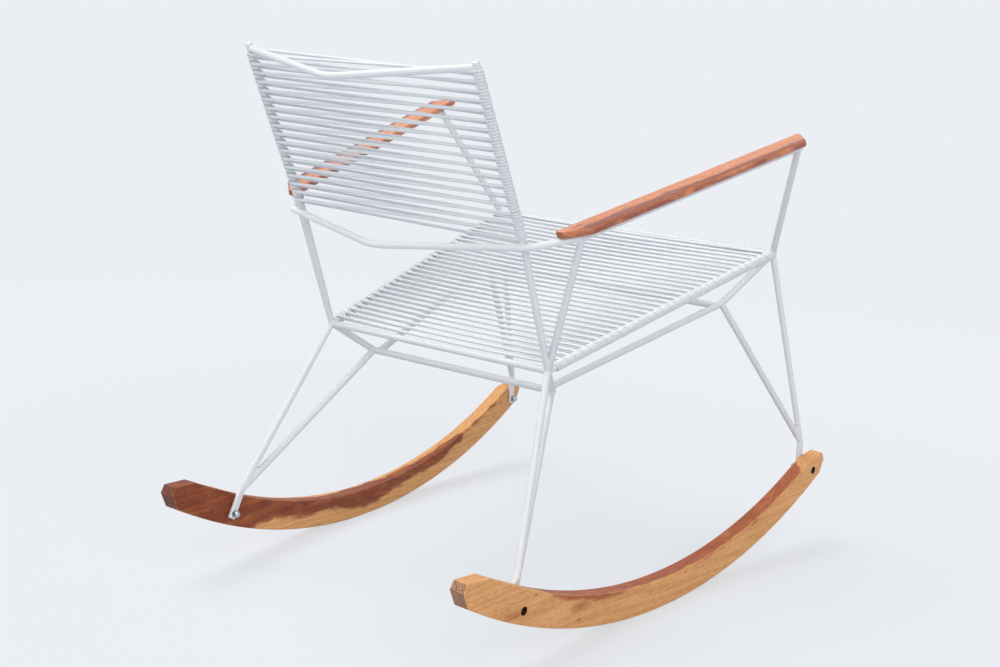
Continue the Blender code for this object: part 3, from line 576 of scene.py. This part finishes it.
def oiled_wood(name, board_frame, pale, brown, end, worn, marks, bores=(), shine=OIL_SHINE,
               roughness=OIL_ROUGHNESS):
    """Oiled plank wood: rings, streaks and pores, brown heartwood and marks, rubbed edges, painted shade
    in bores.
    """
    made, tree, surface = new_material(name)
    turn = board_frame.to_euler()
    source = node(tree, "ShaderNodeTexCoord")

    def between(value, limits, strength=1.0, interpolation="LINEAR"):
        """Rises from 0 to a strength while a value goes from one limit to the other."""
        return node(tree, "ShaderNodeMapRange",
                    {"Value": value, "From Min": limits[0], "From Max": limits[1], "To Max": strength},
                    interpolation_type=interpolation).outputs[0]

    def calculate(operation, *values):
        return node(tree, "ShaderNodeMath", dict(enumerate(values)), operation=operation).outputs[0]

    def mixed(share, first, second):
        return node(tree, "ShaderNodeMix", {0: share, 2: first, 3: second}).outputs[0]

    def coloured(share, first, second):
        return node(tree, "ShaderNodeMix", {0: share, 6: first, 7: second}, data_type="RGBA").outputs[2]

    def moved_to(vector, **frame_sockets):
        """A vector as seen from a frame that is moved, turned or stretched."""
        return node(tree, "ShaderNodeMapping", {"Vector": vector, **frame_sockets},
                    vector_type="TEXTURE").outputs[0]

    def length_of(vector):
        return node(tree, "ShaderNodeVectorMath", {0: vector}, operation="LENGTH").outputs["Value"]

    place = moved_to(source.outputs["Object"], Location=board_frame.translation, Rotation=turn)
    facing = node(tree, "ShaderNodeSeparateXYZ", {0: moved_to(source.outputs["Normal"], Rotation=turn)})

    grain = []
    for length, width in (GRAIN_DRIFT, GRAIN_STREAK, GRAIN_FIBRE, GRAIN_PORE):
        drawn = node(tree, "ShaderNodeMapping",
                     {"Vector": place, "Scale": (1 / length, 1 / width, 1 / width)}).outputs[0]
        noise = node(tree, "ShaderNodeTexNoise", {"Vector": drawn, "Scale": 1, "Detail": GRAIN_DETAIL,
                                                  "Distortion": GRAIN_WARP})
        grain.append(noise.outputs["Fac"])
    drift, streak, fibre, pore = grain
    trunk = node(tree, "ShaderNodeMapping", {"Vector": place, "Location": PITH, "Rotation": RING_TILT,
                                             "Scale": RING_STRETCH}).outputs[0]
    rings = node(tree, "ShaderNodeTexWave",
                 {"Vector": trunk, "Scale": WAVE_PERIOD / RING_WIDTH, "Distortion": RING_WARP,
                  "Detail": GRAIN_DETAIL, "Detail Scale": 1}, wave_type="RINGS").outputs["Fac"]
    figure = mixed(FIBRE_SHARE, mixed(STREAK_SHARE, rings, streak), fibre)
    clouded = mixed(DRIFT_SHARE, figure, drift)
    tones = [node(tree, "ShaderNodeValToRGB", {0: pattern}, stops=zip(TONE_STOPS, colours)).outputs[0]
             for pattern, colours in ((figure, pale), (clouded, brown), (figure, end))]
    pale_tone, brown_tone, end_tone = tones

    inside = node(tree, "ShaderNodeAttribute", attribute_name="heart").outputs["Fac"]
    inside = calculate("MULTIPLY_ADD", drift, HEART_DRIFT, inside)
    inside = calculate("MULTIPLY_ADD", streak, HEART_STREAK, inside)
    heart = between(inside, HEART_BORDER, interpolation="SMOOTHSTEP")
    # Each mark darkens a blotch to the brown tone. On the armrests the one mark is painted shade, for a
    # carved hollow near the rear taper.
    for middle, reach in marks:
        away = length_of(moved_to(place, Location=middle, Scale=reach))
        away = calculate("MULTIPLY_ADD", fibre, MARK_FRAY, away)
        heart = calculate("MAXIMUM", heart, between(away, MARK_BORDER, MARK_STRENGTH, "SMOOTHSTEP"))
    colour = coloured(heart, pale_tone, brown_tone)

    side = calculate("MULTIPLY", facing.outputs["Y"], facing.outputs["Y"])
    edge = calculate("SUBTRACT", side, calculate("MULTIPLY", side, side))
    rubbed = between(calculate("MULTIPLY", edge, streak), RUBBED_BORDER, RUBBED_STRENGTH)
    colour = coloured(rubbed, colour, linear(worn))
    sawn = between(calculate("ABSOLUTE", facing.outputs["X"]), SAWN_BORDER)
    colour = coloured(sawn, colour, end_tone)
    open_pore = between(pore, PORE_BORDER, PORE_STRENGTH)
    colour = coloured(open_pore, colour, linear(brown[0]))
    # Painted shade at each bolt: a round patch a little wider than the counterbore, through the whole
    # board, is coloured near black.
    for middle in bores:
        spread = moved_to(place, Location=middle, Scale=[COUNTERBORE_DIAMETER / 2] * 3)
        flat = node(tree, "ShaderNodeVectorMath", {0: spread, 1: (1, 0, 1)}, operation="MULTIPLY")
        hole = between(length_of(flat.outputs[0]), (BORE_RIM, 1.0))
        colour = coloured(hole, colour, linear(BORE_PAINTED_SHADE))

    relief = node(tree, "ShaderNodeBump", {"Height": calculate("SUBTRACT", fibre, open_pore),
                                           "Distance": GRAIN_DEPTH})
    sheen = node(tree, "ShaderNodeMapRange",
                 {"Value": fibre, "To Min": roughness[0], "To Max": roughness[1]})
    tree.links.new(colour, surface.inputs["Base Color"])
    tree.links.new(sheen.outputs[0], surface.inputs["Roughness"])
    tree.links.new(relief.outputs["Normal"], surface.inputs["Normal"])
    surface.inputs["Specular IOR Level"].default_value = shine
    return made


def mark_heartwood(piece, side, board_frame, depth):
    """Stores at each corner of a piece how deep the wood there lies in the brown heart of the trunk."""
    into_board = board_frame.inverted()
    layer = piece.data.attributes.new("heart", "FLOAT", "POINT")
    for vertex, mark in zip(piece.data.vertices, layer.data):
        mark.value = depth(into_board @ on_side(side, vertex.co))


def rocker_outline(travel):
    """The heights of underside and top, square to the arc, at a distance along it from the rest."""
    to_end = ROCKER_REACH - abs(travel)
    share = (travel + ROCKER_REACH) / (2 * ROCKER_REACH)
    top = ROCKER_FRONT_HEIGHT + share * (ROCKER_REAR_HEIGHT - ROCKER_FRONT_HEIGHT)
    if travel > 0:
        eased = (ROCKER_TOP_FACET + ROCKER_REAR_EASE - to_end) / ROCKER_REAR_EASE
        top -= ROCKER_REAR_EASE_DROP * min(max(eased, 0), 1)
    top = ROCKER_NOSE_TOP + (top - ROCKER_NOSE_TOP) * min(to_end / ROCKER_TOP_FACET, 1)
    low = ROCKER_NOSE_LOW * max(1 - to_end / ROCKER_LOW_FACET, 0)
    return low, top


def rocker_heart(place, border):
    """The depth in the heartwood, from a border that is given as heights on the board's inner face."""
    arm = ARC_CENTRE - place
    travel = math.atan2(-arm.x, arm.z) * ROCKER_RADIUS
    low, top = rocker_outline(travel)
    share = (ROCKER_RADIUS - math.hypot(arm.x, arm.z) - low) / (top - low)
    for (start, first), (finish, last) in zip(border, border[1:]):
        if travel <= finish:
            break
    limit = first + (last - first) * (travel - start) / (finish - start)
    return share + HEART_DEPTH * place.y / ROCKER_THICKNESS - limit


def rocker_board(board_frame):
    """The board's section spun along the arc, cut to its outline, eased and drilled."""
    sink = ROCKER_RADIUS - ARC_CENTRE.z
    swing = ROCKER_REACH / ROCKER_RADIUS
    bpy.ops.object.select_all(action="DESELECT")
    bpy.ops.mesh.primitive_plane_add(size=1, enter_editmode=True, rotation=(0, math.pi / 2, 0))
    bpy.ops.object.mode_set(mode="OBJECT")
    bpy.ops.object.transform_apply(location=False, rotation=True, scale=False)
    board = bpy.context.object
    for vertex in board.data.vertices:
        vertex.co.y = (vertex.co.y - 0.5) * ROCKER_THICKNESS
        vertex.co.z = (vertex.co.z + 0.5) * ROCKER_REAR_HEIGHT - sink
    bpy.ops.object.mode_set(mode="EDIT")
    bpy.ops.mesh.select_all(action="SELECT")
    bpy.ops.transform.rotate(value=-swing, orient_axis="Y", center_override=ARC_CENTRE)
    bpy.ops.mesh.spin(steps=ROCKER_STEPS, angle=2 * swing, center=ARC_CENTRE, axis=(0, 1, 0))
    bpy.ops.object.mode_set(mode="OBJECT")
    for vertex in board.data.vertices:
        arm = ARC_CENTRE - vertex.co
        turn = math.atan2(-arm.x, arm.z)
        low, top = rocker_outline(turn * ROCKER_RADIUS)
        lift = top if math.hypot(arm.x, arm.z) < ROCKER_RADIUS - ROCKER_REAR_HEIGHT / 2 else low
        radius = ROCKER_RADIUS - lift
        vertex.co.x = radius * math.sin(turn)
        vertex.co.z = max(ARC_CENTRE.z - radius * math.cos(turn), 0)
    bpy.ops.object.mode_set(mode="EDIT")
    bpy.ops.mesh.select_all(action="SELECT")
    bpy.ops.mesh.normals_make_consistent(inside=False)
    bpy.ops.mesh.select_mode(type="EDGE")
    bpy.ops.mesh.select_all(action="DESELECT")
    bpy.ops.mesh.edges_select_sharp(sharpness=ROCKER_EDGE_ANGLE)
    bpy.ops.mesh.bevel(offset=ROCKER_EDGE, segments=ROCKER_EDGE_STEPS, affect="EDGES")
    bpy.ops.mesh.select_all(action="DESELECT")
    bpy.ops.mesh.edges_select_sharp(sharpness=ROCKER_FACET_ANGLE)
    bpy.ops.mesh.bevel(offset=ROCKER_FACET_EDGE, segments=ROCKER_FACET_STEPS, affect="EDGES")
    bpy.ops.object.mode_set(mode="OBJECT")
    for bolt in BOLTS.values():
        hole = board_frame.inverted() @ bolt
        hole.y = -ROCKER_THICKNESS
        bore_hole(board, hole, Vector((0, 1, 0)), BOLT_BORE, 4 * ROCKER_THICKNESS)
        bore_hole(board, hole, Vector((0, 1, 0)), COUNTERBORE_DIAMETER, 2 * COUNTERBORE_DEPTH)
    board.data.transform(board_frame)
    bpy.ops.object.shade_smooth_by_angle(angle=ROCKER_CREASE)
    return board


def mirrored(piece, name):
    """A copy on the chair's other side, with its faces turned back outwards."""
    made = piece.copy()
    made.data = piece.data.copy()
    made.name = name
    bpy.context.scene.collection.objects.link(made)
    made.data.transform(Matrix.Scale(-1, 4, (1, 0, 0)))
    made.data.flip_normals()
    return made


rocker_frame = Matrix.Translation(ROCKER_PLACE) @ Matrix.Rotation(ROCKER_TURN, 4, "Z")
left_rocker = rocker_board(rocker_frame)
left_rocker.name = "shaped_rocker_left"
right_rocker = mirrored(left_rocker, "shaped_rocker_right")
for rocker, (label, side) in zip((left_rocker, right_rocker), SIDES.items()):
    border = ROCKER_HEARTS[label]
    mark_heartwood(rocker, side, rocker_frame, lambda place: rocker_heart(place, border))
    grain_turn = math.pi / 2 + side * (ROCKER_TURN - math.pi / 2)
    grain_frame = Matrix.Translation(on_side(side, ROCKER_PLACE)) @ Matrix.Rotation(grain_turn, 4, "Z")
    bores = [grain_frame.inverted() @ on_side(side, bolt) for bolt in BOLTS.values()]
    wood = oiled_wood(f"oiled_two_tone_board_{label}", grain_frame, **ROCKER_WOODS[label],
                      marks=ROCKER_MARKS[label], bores=bores)
    fit(rocker, wood, "oiled_rocker_wood", f"rocker_{label}")

# Armrests: thin boards of red-brown wood on the arm rails, screwed from below. The rear ends taper
# to a narrow tip, the fronts are cut on a slant, and every edge is rounded over by hand.
ARMREST_INNER = -0.0185
ARMREST_OUTER = 0.0175
ARMREST_THICKNESS = 0.0095
ARMREST_GAP = 0.0003
ARMREST_SEAT = BAR_DIAMETER / 2 + ARMREST_GAP
ARMREST_REAR_OVERHANG = 0.028
ARMREST_FRONT_OVERHANG = 0.0195
ARMREST_REAR_TAPER = 0.034
ARMREST_TIP_WIDTH = 0.007
ARMREST_TIP_CHAMFER = 0.005
ARMREST_FRONT_CHAMFER = 0.008
ARMREST_FRONT_CORNER = 0.0095
ARMREST_FRONT_SLANT = 0.023
ARMREST_EDGE = 0.0022
ARMREST_EDGE_STEPS = 5
ARMREST_EDGE_ANGLE = math.radians(30)
ARMREST_OUTER_EASE = 0.0045
ARMREST_OUTER_STEPS = 8
ARMREST_WOOD = {"pale": ("#bd6537", "#da8653", "#eeae87"), "brown": ("#653024", "#8a4535", "#a85e48"),
                "end": ("#8a4526", "#a9602f", "#c47a48"), "worn": "#c06d38"}
# Painted shade: one brown blotch on the upper face where the rear taper starts, for the shade of a carved
# hollow there.
ARMREST_HOLLOW_SHADE_MARKS = (((0.002, 0.006, 0.0095), (0.020, 0.004, 0.005)),)
ARMREST_HEART_START = 0.002
ARMREST_HEART_SKEW = 0.018
ARMREST_HEART_FADE = 0.030
# Painted shade: a fixed heart depth below the upper face, which scatters brown patches over the sides and
# underside.
ARMREST_SIDE_SHADE_HEART = 0.0
ARMREST_SHINE = 0.65
ARMREST_ROUGHNESS = (0.26, 0.42)


def armrest_frame():
    """X runs forward along the left rail, Y out and Z up, from the underside above the rail's bend."""
    along = (ARM_FRONT - ARM_REAR).normalized()
    out = Vector((0, 0, 1)).cross(along).normalized()
    above = along.cross(out)
    board_frame = Matrix((along, out, above)).transposed().to_4x4()
    board_frame.translation = ARM_REAR + above * ARMREST_SEAT
    return board_frame


def armrest_board(board_frame):
    """A slab sawn off at each corner, with rounded edges."""
    front = (ARM_FRONT - ARM_REAR).length + ARMREST_FRONT_OVERHANG
    rear = -ARMREST_REAR_OVERHANG
    size = Vector((front - rear, ARMREST_OUTER - ARMREST_INNER, ARMREST_THICKNESS))
    middle = Vector(((front + rear) / 2, (ARMREST_OUTER + ARMREST_INNER) / 2, ARMREST_THICKNESS / 2))
    tip = ARMREST_INNER + ARMREST_TIP_CHAMFER
    saw_cuts = [
        ((rear + ARMREST_TIP_CHAMFER, ARMREST_INNER), (rear, tip)),
        ((rear, tip + ARMREST_TIP_WIDTH), (rear + ARMREST_REAR_TAPER, ARMREST_OUTER)),
        ((front - ARMREST_FRONT_SLANT, ARMREST_OUTER), (front, ARMREST_INNER + ARMREST_FRONT_CORNER)),
        ((front, ARMREST_INNER + ARMREST_FRONT_CORNER), (front - ARMREST_FRONT_CHAMFER, ARMREST_INNER)),
    ]
    bpy.ops.object.select_all(action="DESELECT")
    bpy.ops.mesh.primitive_cube_add(size=1, location=middle)
    board = bpy.context.object
    board.scale = size
    bpy.ops.object.transform_apply(location=True, rotation=True, scale=True)
    bpy.ops.object.mode_set(mode="EDIT")
    for start, goal in saw_cuts:
        run = Vector(goal) - Vector(start)
        bpy.ops.mesh.select_all(action="SELECT")
        bpy.ops.mesh.bisect(plane_co=(*start, 0), plane_no=(-run.y, run.x, 0), use_fill=True,
                            clear_outer=True)
    bpy.ops.mesh.select_all(action="SELECT")
    bpy.ops.mesh.normals_make_consistent(inside=False)
    bpy.ops.mesh.select_mode(type="EDGE")
    bpy.ops.mesh.select_all(action="DESELECT")
    bpy.ops.object.mode_set(mode="OBJECT")
    for edge in board.data.edges:
        ends = [board.data.vertices[index].co for index in edge.vertices]
        edge.select = all(end.y > ARMREST_OUTER - ARMREST_EDGE and end.z > middle.z for end in ends)
    bpy.ops.object.mode_set(mode="EDIT")
    bpy.ops.mesh.bevel(offset=ARMREST_OUTER_EASE, segments=ARMREST_OUTER_STEPS, affect="EDGES")
    bpy.ops.mesh.select_all(action="DESELECT")
    bpy.ops.mesh.edges_select_sharp(sharpness=ARMREST_EDGE_ANGLE)
    bpy.ops.mesh.bevel(offset=ARMREST_EDGE, segments=ARMREST_EDGE_STEPS, affect="EDGES")
    bpy.ops.object.mode_set(mode="OBJECT")
    board.data.transform(board_frame)
    bpy.ops.object.shade_smooth_by_angle(angle=ARMREST_EDGE_ANGLE)
    return board


def armrest_heart(place):
    """The depth in the heartwood along the outer part of the upper face, and a fixed depth below it for
    painted shade.
    """
    # Below the upper face: a fixed depth that scatters brown patches as painted shade on the outer side's
    # lower part.
    if place.z < ARMREST_THICKNESS - ARMREST_EDGE / 4:
        return ARMREST_SIDE_SHADE_HEART
    return (place.y - ARMREST_HEART_START - ARMREST_HEART_SKEW * place.x) / ARMREST_HEART_FADE


rest_frame = armrest_frame()
left_armrest = armrest_board(rest_frame)
left_armrest.name = "shaped_armrest_left"
mark_heartwood(left_armrest, 1, rest_frame, armrest_heart)
right_armrest = mirrored(left_armrest, "shaped_armrest_right")
mirror_frame = Matrix.Scale(-1, 4, (1, 0, 0)) @ rest_frame @ Matrix.Scale(-1, 4, (0, 1, 0))
armrests = ((left_armrest, "left", rest_frame), (right_armrest, "right", mirror_frame))
for armrest, label, grain_frame in armrests:
    wood = oiled_wood(f"oiled_red_brown_board_{label}", grain_frame, **ARMREST_WOOD, marks=ARMREST_HOLLOW_SHADE_MARKS,
                      shine=ARMREST_SHINE, roughness=ARMREST_ROUGHNESS)
    fit(armrest, wood, "oiled_armrest_wood", f"armrest_{label}")

# Hardware: zinc-plated machine bolts whose heads sit in the rockers, domed cap nuts on the feet, and
# flat screws that hold the armrests from below. All are bought ready made. The solids of the bolts and
# nuts stay and only take the zinc.
ZINC_COLOUR = "#c3c8ce"
ZINC_DULL = "#a6aab0"
ZINC_SPOT = 0.003
ZINC_SCRATCH = (0.0002, 0.004)
ZINC_SCRATCH_SHARE = 0.5
ZINC_ROUGHNESS = (0.18, 0.46)
SCREW_PLACES = {1: 0.090, 2: 0.350}
SCREW_HEAD = 0.0050
SCREW_SHANK = 0.0035
SCREW_CONE = 0.0020
SCREW_LENGTH = 0.0095
SCREW_PROUD = 0.0001
SCREW_DRIVE = 0.0010
SCREW_POINT = 0.1
SCREW_SIDES = 24
SCREW_CREASE = math.radians(30)


def bright_zinc():
    """Bright zinc plate: blue-white metal with dulled spots and fine scratches from the spanner."""
    made, tree, surface = new_material("bright_zinc_plate")
    place = node(tree, "ShaderNodeTexCoord").outputs["Object"]
    spot = node(tree, "ShaderNodeTexNoise", {"Vector": place, "Scale": 1 / ZINC_SPOT, "Detail": 3})
    width, length = ZINC_SCRATCH
    drawn = node(tree, "ShaderNodeMapping", {"Vector": place, "Scale": (1 / width, 1 / length, 1 / width)})
    scratch = node(tree, "ShaderNodeTexNoise", {"Vector": drawn.outputs[0], "Scale": 1, "Detail": 2})
    tone = node(tree, "ShaderNodeMix", {0: spot.outputs["Fac"], 6: linear(ZINC_DULL),
                                        7: linear(ZINC_COLOUR)}, data_type="RGBA")
    wear = node(tree, "ShaderNodeMix", {0: ZINC_SCRATCH_SHARE, 2: spot.outputs["Fac"],
                                        3: scratch.outputs["Fac"]})
    gloss = node(tree, "ShaderNodeMapRange", {"Value": wear.outputs[0], "To Min": ZINC_ROUGHNESS[0],
                                              "To Max": ZINC_ROUGHNESS[1]})
    tree.links.new(tone.outputs[2], surface.inputs["Base Color"])
    tree.links.new(gloss.outputs[0], surface.inputs["Roughness"])
    surface.inputs["Metallic"].default_value = 1.0
    return made


def flat_screw(name, place, axis):
    """A disc drawn in to a shank and on to a point, with a drive pressed into the head."""
    bpy.ops.object.select_all(action="DESELECT")
    bpy.ops.mesh.primitive_circle_add(vertices=SCREW_SIDES, radius=SCREW_HEAD / 2, fill_type="NGON",
                                      enter_editmode=True)
    bpy.ops.mesh.extrude_region_move(TRANSFORM_OT_translate={"value": (0, 0, SCREW_PROUD)})
    stages = ((SCREW_CONE, SCREW_SHANK / SCREW_HEAD), (SCREW_LENGTH, 1), (SCREW_SHANK, SCREW_POINT))
    for rise, width in stages:
        bpy.ops.mesh.extrude_region_move(TRANSFORM_OT_translate={"value": (0, 0, rise)})
        bpy.ops.transform.resize(value=(width, width, 1), center_override=(0, 0, 0))
    bpy.ops.mesh.select_all(action="SELECT")
    bpy.ops.mesh.normals_make_consistent(inside=False)
    bpy.ops.object.mode_set(mode="OBJECT")
    made = bpy.context.object
    made.name = name
    bore_hole(made, Vector((0, 0, 0)), Vector((0, 0, 1)), SCREW_DRIVE * 2, SCREW_DRIVE * 2)
    turn = axis.to_track_quat("Z", "Y").to_matrix().to_4x4()
    made.data.transform(Matrix.Translation(place) @ turn)
    bpy.ops.object.shade_smooth_by_angle(angle=SCREW_CREASE)
    return made


zinc = bright_zinc()
for name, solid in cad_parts.items():
    if name.startswith(("rocker_bolt", "cap_nut")):
        for slot in solid.material_slots:
            slot.material = zinc
for label, side in SIDES.items():
    above = on_side(side, rest_frame.col[2].to_3d())
    for number, inset in SCREW_PLACES.items():
        seat = rest_frame @ Vector((inset, 0, -ARMREST_SEAT - BAR_DIAMETER / 2 - SCREW_PROUD))
        screw = flat_screw(f"flat_screw_{number}_{label}", on_side(side, seat), above)
        fit(screw, zinc, "bright_zinc_steel", f"armrest_screw_{number}_{label}")

# Studio: a pale seamless floor that fades into an even backdrop, a bright sky of soft light, a lamp
# high above and a broad lamp on each side of the camera, which stands behind the right armrest.
FLOOR_SIZE = 120.0
FLOOR_COLOUR = "#cacfd7"
FLOOR_ROUGHNESS = 0.9
FLOOR_GLOW = 0.60
NEAR_GLOW_COLOUR = "#f9fcff"
BACKDROP_COLOUR = "#ebeff4"
FADE_START = 0.9
FADE_END = 2.6
SKY_COLOUR = "#fbfbfc"
SKY_STRENGTH = 0.35
LAMPS = (
    (Vector((0.37, 0.09, 0.90)), 1.35, math.radians(32)),
    (Vector((0.62, 0.55, 0.56)), 0.8, math.radians(60)),
    (Vector((-0.68, 0.48, 0.55)), 1.35, math.radians(55)),
)
CAMERA_PLACE = (-1.310, 1.82293, 0.8152)
CAMERA_TURN = (78.1476, -3.1848, -143.1439)
CAMERA_LENS = 55.51
scene = bpy.context.scene
scene.view_settings.view_transform = "Standard"


def seen_directly(tree):
    """1 for the camera's view, also by way of a glossy or clear surface, and 0 for lighting."""
    ray = node(tree, "ShaderNodeLightPath").outputs
    seen = node(tree, "ShaderNodeMath", {0: ray["Is Camera Ray"], 1: ray["Is Glossy Ray"]},
                operation="MAXIMUM").outputs[0]
    return node(tree, "ShaderNodeMath", {0: seen, 1: ray["Is Transmission Ray"]},
                operation="MAXIMUM").outputs[0]


bpy.ops.mesh.primitive_plane_add(size=FLOOR_SIZE)
floor = bpy.context.object
floor.name = "studio_floor"
paper, paper_tree, paper_surface = new_material("matt_studio_paper")
paper_surface.inputs["Base Color"].default_value = linear(FLOOR_COLOUR)
paper_surface.inputs["Roughness"].default_value = FLOOR_ROUGHNESS
paper_surface.inputs["Specular IOR Level"].default_value = 0.0
spot = node(paper_tree, "ShaderNodeTexCoord").outputs["Object"]
away = node(paper_tree, "ShaderNodeVectorMath", {0: spot}, operation="LENGTH").outputs["Value"]
far = node(paper_tree, "ShaderNodeMapRange",
           {"Value": away, "From Min": FADE_START, "From Max": FADE_END},
           interpolation_type="SMOOTHSTEP").outputs[0]
fade = node(paper_tree, "ShaderNodeMapRange", {"Value": far, "To Min": FLOOR_GLOW}).outputs[0]
blend = node(paper_tree, "ShaderNodeMath", {0: fade, 1: seen_directly(paper_tree)}, operation="MULTIPLY")
glow_colour = node(paper_tree, "ShaderNodeMix",
                   {0: far, 6: linear(NEAR_GLOW_COLOUR), 7: linear(BACKDROP_COLOUR)},
                   data_type="RGBA").outputs[2]
glow = node(paper_tree, "ShaderNodeEmission", {"Color": glow_colour})
faded = node(paper_tree, "ShaderNodeMixShader", {0: blend.outputs[0], 1: paper_surface.outputs[0],
                                                 2: glow.outputs[0]})
paper_tree.links.new(faded.outputs[0], paper_tree.nodes["Material Output"].inputs["Surface"])
floor.data.materials.append(paper)

scene.world = bpy.data.worlds.new("studio_sky")
scene.world.use_nodes = True
sky_tree = scene.world.node_tree
sky = sky_tree.nodes["Background"]
sky.inputs["Color"].default_value = linear(SKY_COLOUR)
sky.inputs["Strength"].default_value = SKY_STRENGTH
backdrop = node(sky_tree, "ShaderNodeBackground", {"Color": linear(BACKDROP_COLOUR)})
view = node(sky_tree, "ShaderNodeMixShader", {0: seen_directly(sky_tree), 1: sky.outputs[0],
                                              2: backdrop.outputs[0]})
sky_tree.links.new(view.outputs[0], sky_tree.nodes["World Output"].inputs["Surface"])

for direction, strength, spread in LAMPS:
    bpy.ops.object.light_add(type="SUN", rotation=direction.to_track_quat("Z", "Y").to_euler())
    lamp = bpy.context.object.data
    lamp.energy = strength
    lamp.angle = spread

bpy.ops.object.camera_add(location=CAMERA_PLACE, rotation=[math.radians(turn) for turn in CAMERA_TURN])
camera = bpy.context.object
camera.data.lens = CAMERA_LENS
scene.camera = camera
